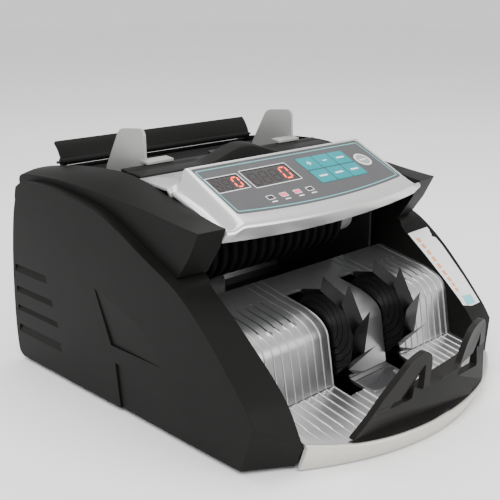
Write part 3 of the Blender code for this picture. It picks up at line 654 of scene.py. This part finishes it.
def build_note_stop():
    outline = refine(rounded(STOP_OUTLINE, 4.0, 5), 4.0)
    faces = [bend_to_lip(outline, setback) for setback in (STOP_FRONT, STOP_FRONT + STOP_THICK)]
    stop = make("stop_ears", loft(faces), STOP)
    tools = []
    for window in STOP_WINDOWS:
        cut = refine(rounded(window, 1.2, 3), 4.0)
        tools.append(loft([bend_to_lip(cut, s) for s in (-6.0, 12.0)]))
    combine(stop, tools)
    bridge = []
    for x, height in refine(STOP_BRIDGE, 4.0):
        depth = STOP_RECESS * smoothstep((x + 12.0) / 20.0)
        bridge.append((x, height, STOP_FRONT - 0.1 + depth))
    lid = bend_to_lip([(x, height) for x, height, _ in bridge], -4.0)
    floor = [bend_to_lip([(x, height)], depth)[0] for x, height, depth in bridge]
    combine(stop, [loft([lid, floor])])
    soften(stop, 0.8, 3, angle=40.0)
    combine(stop, [loft([bend_to_lip(n, s) for s in (-4.0, STOP_FRONT + 1.2)]) for n in STOP_NOTCHES])
    weight_normals(stop)
    finish_piece(stop, nodes=["note_stop"])


# -------------------------------------------------------------- stacker wheels
def polar(radius, angle):
    """Point about the stacker axis; the angle runs from the front upwards."""
    return (STACKER_AXIS[0] - radius * math.cos(angle), STACKER_AXIS[1] + radius * math.sin(angle))


def leaf_outline(tip, trail):
    """Saw-toothed wheel with a narrow spiral slot behind each tooth.

    `tip` is the radius of the points and `trail` how far they lag, in degrees.
    """
    notch, hub = 27.2, 12.0
    pitch = 2.0 * math.pi / STACKER_LEAVES
    sweep = math.radians(120.0)
    steps = 18
    outline = []
    for leaf in range(STACKER_LEAVES):
        point = math.radians(-2.0) + leaf * pitch
        mouth = point - math.radians(22.0)
        slot_front = []
        slot_back = []
        for i in range(steps + 1):
            radius = notch + (hub - notch) * i / steps
            angle = mouth - sweep * i / steps
            half = 0.5 / radius
            slot_front.append(polar(radius, angle - half))
            slot_back.append(polar(radius, angle + half))
        outline += [polar(tip, point - math.radians(trail))] + slot_front + slot_back[::-1]
    return outline


def build_wheels():
    for name, side, node in (("left_leaf_wheel", -1, "left_stacker_wheel"),
                             ("right_leaf_wheel", 1, "right_stacker_wheel")):
        x0, x1 = sorted(side * x for x in WHEEL_X)
        blunt = [(x0, y, z) for y, z in leaf_outline(LEAF_HEEL, 14.0)]
        pointed = [(x1, y, z) for y, z in leaf_outline(LEAF_TIP, -1.0)]
        wheel = make(name, loft([blunt, pointed]), LEAF, smooth=50.0)
        combine(wheel, [turned_x(STACKER_AXIS, [(x0 - 1, 0.01), (x0 - 1, 2.8), (x1 + 1, 2.8),
                                                (x1 + 1, 0.01)], 32)])
        wheel.data.set_sharp_from_angle(angle=math.radians(50.0))
        finish_piece(wheel, "stacker", [node])


# ------------------------------------------------------------------ feed drum
def build_drum():
    pitch = 8.6
    x = -75.0
    profile = [(x, 4.3), (x, 17.0)]
    for _ in range(15):
        profile += [(x + 0.6, 17.0), (x + 1.2, 20.2), (x + 1.8, DRUM_RADIUS)]
        profile += [(x + 5.4, DRUM_RADIUS), (x + 6.0, 20.2), (x + 6.6, 17.0)]
        x += pitch
    profile += [(x - pitch + 7.0, 17.0), (x - pitch + 7.0, 4.3)]
    drum = make("ribbed_drum", turned_x(DRUM_AXIS, profile, 72), RUBBER, smooth=50.0)
    finish_piece(drum, "drum", ["feed_drum"])
    profile = [(62, 4.3), (62, 8.6), (62.8, 9.0), (62.8, 10.2), (62, 10.6), (62, 12.4),
               (62.8, 13.2), (73.2, 13.2), (74, 12.4), (74, 4.3)]
    end = make("grey_end_roller", turned_x(DRUM_AXIS, profile, 64), GREY, smooth=50.0)
    finish_piece(end, "drum", ["drum_end_roller"])


# --------------------------------------------------------------------- hopper
BAR_HALF = 93.0
HUMP_HALF = 38.0
HUMP_RISE = 9.2


def hump(x):
    if abs(x) >= HUMP_HALF:
        return 0.0
    return HUMP_RISE * 0.5 * (1.0 + math.cos(math.pi * (x / HUMP_HALF))) ** 0.8 / 2 ** -0.2


def build_front_bar():
    sections = []
    count = 62
    for i in range(count + 1):
        x = -BAR_HALF + 2 * BAR_HALF * i / count
        rise = hump(x)
        scoop = rise * 0.55
        ring = [(26.9, 146.6), (26.6, 148.6 + scoop), (27.6, 149.9 + rise * 0.9),
                (29.2, 150.2 + rise), (38.6, 151.3 + rise), (40.6, 150.9 + rise * 0.85),
                (42.2, 151.7), (46.8, 152.4), (48.2, 151.9), (48.2, 149.2), (43.2, 148.0),
                (43.2, 126.4), (42.8, 126.0), (40.6, 126.0), (40.2, 126.4), (40.2, 147.6)]
        sections.append([(x, y, z) for y, z in ring])
    bar = make("hopper_bar", loft(sections), SHELL, smooth=40.0)
    soften(bar, 0.7, 3, angle=50.0, smooth=40.0)
    finish_piece(bar, nodes=["hopper_front_bar"])


def build_guides():
    fin = [(52.5, 125.0), (52.5, 149.0), (49.0, 153.2), (49.6, 172.3), (52.6, 175.4),
           (73.6, 173.6), (77.4, 171.2), (93.0, 144.3), (93.0, 137.2)]
    for name, side, node, body in (
        ("left_fin", -1, "left_note_guide", "left_guide"),
        ("right_fin", 1, "right_note_guide", "right_guide"),
    ):
        x0, x1 = sorted((side * (GUIDE_X - 1.0), side * (GUIDE_X + 1.0)))
        guide = make(name, prism_x(rounded(fin, 4.5, 6), x0, x1), GUIDE)
        foot = [(44.5, 152.5), (44.5, 154.3), (52.3, 155.2), (52.3, 153.4)]
        x0, x1 = sorted((side * (GUIDE_X - 20.0), side * (GUIDE_X + 2.5)))
        combine(guide, [prism_x(foot, x0, x1)], "UNION")
        soften(guide, 0.5, 3)
        finish_piece(guide, body, [node])


def build_flap():
    half = 92.0
    line = spline([(117.6, 146.9), (118.4, 150.5), (120.2, 154.4), (122.9, 158.2),
                   (125.6, 161.0)], 5)
    outline = strip(line, -2.4)
    flap = make("support_flap", prism_x(outline, -half, half), SHELL)
    combine(flap, [turned_x((119.5, 147.0), [(-half, 1.3), (-half, 2.7), (half, 2.7),
                                             (half, 1.3)], 32)], "UNION")
    soften(flap, 0.6, 3)
    finish_piece(flap, "support_flap", ["note_support_flap"])


def build_knob():
    centre_y = 56.6
    outline = []
    for i in range(96):
        angle = 2 * math.pi * i / 96
        radius = 6.9 - (0.45 if i % 4 > 1 else 0.0)
        outline.append((radius * math.cos(angle), centre_y + radius * math.sin(angle)))
    knob = make("knurled_knob", prism_z(outline, 137.0, 151.4), STOP)
    soften(knob, 0.25, 2)
    finish_piece(knob, "adjusting_knob", ["thickness_knob"])


# --------------------------------------------------------------- control panel
def smoothstep(value):
    value = min(1.0, max(0.0, value))
    return value * value * (3.0 - 2.0 * value)


def fascia_top(x):
    return -61.8 + 7.0 * (x / 96.0) ** 2


def bezel_section(x):
    blend = smoothstep((abs(x) - 82.0) / 9.5)
    brow = fascia_top(x)
    ridge = PANEL_REAR[1] + (brow - PANEL_REAR[0]) * math.tan(PANEL_TILT)
    drop = 9.0 * blend
    tail = 0.35 * drop
    rear_z = 158.2 - 12.6 * blend
    rear_y = -3.6 - 2.0 * blend
    low_z = 119.5 + 2.8 * (x / 96.0) ** 2
    outer = [
        (26.0, 149.2), (0.2, 150.4 - 3.0 * blend), (-1.6, 151.4 - 3.6 * blend),
        (rear_y + 1.0, rear_z - 1.6), (rear_y + 0.5, rear_z - 0.4), (rear_y - 0.9, rear_z),
        (-30.0, 145.6 - 9.0 * blend), (brow + 9.0, ridge + 4.3 - drop),
        (brow + 4.0, ridge + 1.75 - 0.6 * drop), (brow + 1.8, ridge + 0.5 - tail),
        (brow + 0.6, ridge - 0.5 - tail), (brow, ridge - 2.2 - tail),
        (brow + 4.5, low_z + 0.8), (brow + 5.0, low_z),
    ]
    return [(x, y, z) for y, z in strip(outer, 2.0)]


def panel_outline(margin, corner=2.2, half=PANEL_HALF, depth=PANEL_DEPTH, bow=PANEL_BOW):
    half += margin
    outline = [(-half, margin), (half, margin)]
    steps = 24
    for i in range(steps + 1):
        u = half - 2 * half * i / steps
        outline.append((u, -(depth + margin + bow * (1.0 - (u / half) ** 2))))
    return rounded(outline, corner, 4)


KEYS = {
    "plus_key": (0, 0), "minus_key": (1, 0), "reset_key": (2, 0),
    "add_key": (0, 1), "uv_key": (1, 1), "mg_key": (2, 1),
}
KEY_BLOCK = (6.0, 55.0, 7.0, 36.5)
KEY_SPACE = 0.9
KEY_TOP = 0.25                   # heights above the panel
START_TOP = 0.35
INK = (0.01, 0.09)
START_KEY = (64.5, 21.5, 7.2)
WINDOWS = {"batch_display": (-77.0, -51.5, 11.0, 25.0), "count_display": (-47.0, -6.0, 9.5, 27.0)}
INDICATORS = {-45.5: False, -33.5: True, -21.0: True, -9.0: False}     # place: lit or not


def key_rectangle(column, row):
    u0, u1, v0, v1 = KEY_BLOCK
    width = (u1 - u0) / 3
    height = (v1 - v0) / 2
    return (u0 + column * width + KEY_SPACE / 2, u0 + (column + 1) * width - KEY_SPACE / 2,
            v0 + row * height + KEY_SPACE / 2, v0 + (row + 1) * height - KEY_SPACE / 2)


def rectangle(u0, u1, v0, v1, corner=0.8):
    return rounded([(u0, -v0), (u1, -v0), (u1, -v1), (u0, -v1)], corner, 4)


def ring_solid(outline, inner, w0, w1):
    """Flat frame between two outlines with the same number of points."""
    return loft([
        [(*p, w0) for p in inner], [(*p, w1) for p in inner],
        [(*p, w1) for p in outline], [(*p, w0) for p in outline],
    ], closed=True)


def shrink(outline, amount):
    """Closed outline (clockwise or not) moved towards its own inside."""
    centre = Vector((0.0, 0.0))
    for point in outline:
        centre += Vector(point) / len(outline)
    count = len(outline)
    result = []
    for i in range(count):
        along = (Vector(outline[(i + 1) % count]) - Vector(outline[i - 1])).normalized()
        normal = Vector((-along.y, along.x))
        here = Vector(outline[i])
        if normal.dot(centre - here) < 0:
            normal = -normal
        result.append(tuple(here + normal * amount))
    return result


def printed(name, bms, material, body="chassis"):
    """Several flat printed shapes as separate pieces on one body."""
    for i, bm in enumerate(bms):
        tag = name if len(bms) == 1 else f"{name}_{i + 1}"
        finish_piece(make(tag, bm, material, PANEL), body)


SEGMENT_SETS = {"a": (0.5, 1.0, True), "g": (0.5, 0.5, True), "d": (0.5, 0.0, True),
                "f": (0.0, 0.75, False), "e": (0.0, 0.25, False), "b": (1.0, 0.75, False),
                "c": (1.0, 0.25, False)}


def digit(u, v, width, height, w, lit):
    """Seven-segment figure: `lit` names the segments drawn."""
    bars = []
    half = 0.62
    slant = 0.14
    for name, (fx, fy, level) in SEGMENT_SETS.items():
        if name not in lit:
            continue
        x = u + (fx - 0.5) * width
        y = -v + (fy - 0.5) * height
        if level:
            reach = width / 2 - 0.55
            shape = [(x - reach, y), (x - reach + half, y + half), (x + reach - half, y + half),
                     (x + reach, y), (x + reach - half, y - half), (x - reach + half, y - half)]
        else:
            reach = height / 4 - 0.45
            shape = [(x, y - reach), (x + half, y - reach + half), (x + half, y + reach - half),
                     (x, y + reach), (x - half, y + reach - half), (x - half, y - reach + half)]
        shape = [(px + slant * (py + v), py) for px, py in shape]
        bars.append(prism_z(shape, w, w + 0.08))
    return bars


def build_bezel():
    stations = [-FIT_HALF, -94.0, -92.5]
    x = -91.0
    while x < -80.0:
        stations.append(x)
        x += 1.0
    x = -79.0
    while x < 79.5:
        stations.append(x)
        x += 5.27
    stations = sorted(set([round(s, 3) for s in stations] + [round(-s, 3) for s in stations]))
    bezel = make("panel_bezel", loft([bezel_section(x) for x in stations]), SILVER)
    opening = prism_z(panel_outline(0.3), -9.0, 9.0)
    combine(bezel, [opening], place=PANEL)
    soften(bezel, 0.35, 2, angle=45.0)
    finish_piece(bezel, nodes=["control_panel_bezel"])


def build_overlay():
    overlay = make("membrane", prism_z(panel_outline(0.0), -1.5, 0.0), OVERLAY, PANEL)
    tools = []
    for u0, u1, v0, v1 in [key_rectangle(*place) for place in KEYS.values()]:
        tools.append(prism_z(rectangle(u0 - 0.25, u1 + 0.25, v0 - 0.25, v1 + 0.25), -4, 4))
    u, v, radius = START_KEY
    tools.append(prism_z(circle((u, -v), radius + 0.25), -4, 4))
    for u0, u1, v0, v1 in WINDOWS.values():
        tools.append(prism_z(rectangle(u0 - 0.2, u1 + 0.2, v0 - 0.2, v1 + 0.2), -4, 4))
    combine(overlay, tools, place=PANEL)
    finish_piece(overlay, nodes=["keypad_overlay"])
    outer = panel_outline(-1.6)
    printed("teal_border", [ring_solid(outer, shrink(outer, 0.8), *INK)], TEAL_LINE)
    frames = []
    for u0, u1, v0, v1 in WINDOWS.values():
        rim = rectangle(u0 - 0.9, u1 + 0.9, v0 - 0.9, v1 + 0.9, 1.2)
        frames.append(ring_solid(rim, shrink(rim, 0.6), *INK))
    for centre in INDICATORS:
        rim = rectangle(centre - 3.1, centre + 3.1, 36.5, 40.6, 0.5)
        frames.append(ring_solid(rim, shrink(rim, 0.45), *INK))
        frames.append(prism_z(rectangle(centre - 2.4, centre + 2.4, 42.4, 43.4, 0.4), *INK))
    printed("white_print", frames, WHITE)
    for name, state, material in (("lit_indicator", True, PINK_GLOW), ("unlit_indicator", False, PANE)):
        places = [centre for centre, lit in INDICATORS.items() if lit == state]
        lamps = [prism_z(rectangle(c - 2.3, c + 2.3, 37.2, 39.9, 0.4), 0.01, 0.08) for c in places]
        printed(name, lamps, material)


# place of the lit figure, pitch, unlit figures beside it, height on the panel, width and height
FIGURES = {"batch": (-56.2, 8.0, 2, 18.0, 5.0, 9.6), "count": (-12.4, 9.4, 3, 18.2, 6.0, 11.4)}


def build_displays():
    for name, (u0, u1, v0, v1) in WINDOWS.items():
        pane = make(f"{name}_pane", prism_z(rectangle(u0, u1, v0, v1), -3.6, -0.35), PANE, PANEL)
        finish_piece(pane, nodes=[name])
    for name, (u, _, _, v, width, height) in FIGURES.items():
        printed(f"{name}_zero", digit(u, v, width, height, -0.3, "abcdef"), RED_GLOW)
    for name, (u, pitch, blanks, v, width, height) in FIGURES.items():
        for k in range(blanks):
            u -= pitch
            printed(f"{name}_unlit_{k}", digit(u, v, width, height, -0.3, "abcdefg"), RED_UNLIT)


def build_keys():
    ink = (KEY_TOP + 0.01, KEY_TOP + 0.07)
    for name, place in KEYS.items():
        u0, u1, v0, v1 = key_rectangle(*place)
        pad = make(f"{name}_pad", prism_z(rectangle(u0, u1, v0, v1), -2.2, KEY_TOP), KEY, PANEL)
        soften(pad, 0.15, 2)
        finish_piece(pad, f"{name}_body", [name])
        u = 0.5 * (u0 + u1)
        v = 0.5 * (v0 + v1)
        if name == "plus_key":
            mark = plus_outline(u, v, 2.2, 0.45)
        elif name == "minus_key":
            mark = rectangle(u - 2.2, u + 2.2, v - 0.45, v + 0.45, 0.3)
        else:
            mark = rectangle(u - 4.0, u + 4.0, v - 0.8, v + 0.8, 0.3)
        printed(f"{name}_mark", [prism_z(mark, *ink)], WHITE, f"{name}_body")
    u, v, radius = START_KEY
    disc = make("start_disc", prism_z(circle((u, -v), radius, 64), -2.2, START_TOP), START, PANEL)
    soften(disc, 0.2, 2)
    finish_piece(disc, "start_key_body", ["start_key"])
    ink = (START_TOP + 0.01, START_TOP + 0.07)
    rim = circle((u, -v), radius - 0.3, 64)
    inner = circle((u, -v), radius - 1.5, 64)
    printed("start_ring", [ring_solid(rim, inner, *ink)], WHITE, "start_key_body")
    printed("start_bar", [prism_z(rectangle(u - 3.4, u + 3.4, v - 0.7, v + 0.7, 0.4), *ink)],
            WHITE, "start_key_body")


def plus_outline(u, v, reach, half):
    return [(u - reach, -v - half), (u - half, -v - half), (u - half, -v - reach),
            (u + half, -v - reach), (u + half, -v - half), (u + reach, -v - half),
            (u + reach, -v + half), (u + half, -v + half), (u + half, -v + reach),
            (u - half, -v + reach), (u - half, -v + half), (u - reach, -v + half)]


# ------------------------------------------- CAD nodes that keep their own mesh
KEPT = {
    "base_plate": BLACK, "front_left_foot": RUBBER, "front_right_foot": RUBBER,
    "rear_left_foot": RUBBER, "rear_right_foot": RUBBER, "power_inlet": BLACK,
    "power_switch_body": BLACK, "power_rocker": STOP, "left_stacker_bearing": STEEL,
    # frame plates: near-black as painted shade inside the case
    "right_stacker_bearing": STEEL, "left_frame_plate": DARK_STEEL_AND_SHADE,
    "right_frame_plate": DARK_STEEL_AND_SHADE, "drive_motor": STEEL, "stacker_motor": STEEL,
    "drive_belt": RUBBER, "pickup_belt": RUBBER, "stacker_belt": RUBBER, "transformer": STEEL,
    "main_board": BOARD, "uv_lamp": VIOLET, "hopper_floor": BLACK, "flap_hinge_pin": DARK_STEEL_AND_SHADE,
    "panel_board": BOARD, "stacker_shaft": STEEL, "stacker_pulley": GREY,
    "stacker_motor_pulley": STEEL, "feed_drum_shaft": STEEL, "drum_pulley": GREY,
    "pickup_shaft": STEEL, "left_pickup_roller": RUBBER, "right_pickup_roller": RUBBER,
    "pickup_pulley": GREY, "motor_pulley": STEEL,
}


def paint_kept_nodes():
    for name, material in KEPT.items():
        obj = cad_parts[name]
        obj.data.materials.clear()
        obj.data.materials.append(material)


# ------------------------------------------------------ floor, lights, camera
def aim(obj, forward):
    obj.rotation_mode = "QUATERNION"
    obj.rotation_quaternion = Vector(forward).to_track_quat("-Z", "Y")


def area_light(name, location, target, size, power):
    data = bpy.data.lights.new(name, "AREA")
    data.shape = "RECTANGLE"
    data.size = size[0]
    data.size_y = size[1]
    data.energy = power
    light = bpy.data.objects.new(name, data)
    light.location = location
    aim(light, Vector(target) - Vector(location))
    bpy.context.collection.objects.link(light)


def build_studio():
    floor = make("studio_floor", box(-6000, 6000, -6000, 6000, -20.0, -0.2),
                 surface("pale_floor", (0.97, 0.97, 0.97), 0.8, grain=40.0, bump=0.02, patch=400.0,
                         spread=0.01))
    world = bpy.data.worlds.new("studio")
    world.use_nodes = True
    background = world.node_tree.nodes["Background"]
    background.inputs["Color"].default_value = (1.0, 1.0, 1.0, 1.0)
    background.inputs["Strength"].default_value = 1.0
    bpy.context.scene.world = world
    centre = (0.0, 0.0, 0.08)
    area_light("key_light", (-0.9, -0.7, 1.3), centre, (0.9, 0.9), 22.0)
    area_light("top_light", (0.2, 0.2, 1.5), centre, (1.2, 1.2), 14.0)
    area_light("front_light", (0.5, -1.4, 0.7), centre, (1.0, 0.6), 9.0)


CAMERA_PLACE = (-0.4263, -0.4072, 0.2608)
CAMERA_FORWARD = (0.67536, 0.68191, -0.28088)
CAMERA_LENS = 63.08


def build_camera():
    data = bpy.data.cameras.new("camera")
    data.lens = CAMERA_LENS
    data.sensor_width = 36.0
    camera = bpy.data.objects.new("camera", data)
    camera.location = CAMERA_PLACE
    aim(camera, CAMERA_FORWARD)
    data.clip_start = 0.01
    data.clip_end = 50.0
    bpy.context.collection.objects.link(camera)
    bpy.context.scene.camera = camera


build_camera()
build_studio()
paint_kept_nodes()
build_side_cover("left_cover_shell", -1, "left_side_cover")
build_side_cover("right_cover_shell", 1, "right_side_cover")
build_label()
build_rear()
build_tray()
build_stacker_plate()
build_note_stop()
build_wheels()
build_drum()
build_front_bar()
build_guides()
build_flap()
build_knob()
build_bezel()
build_overlay()
build_displays()
build_keys()
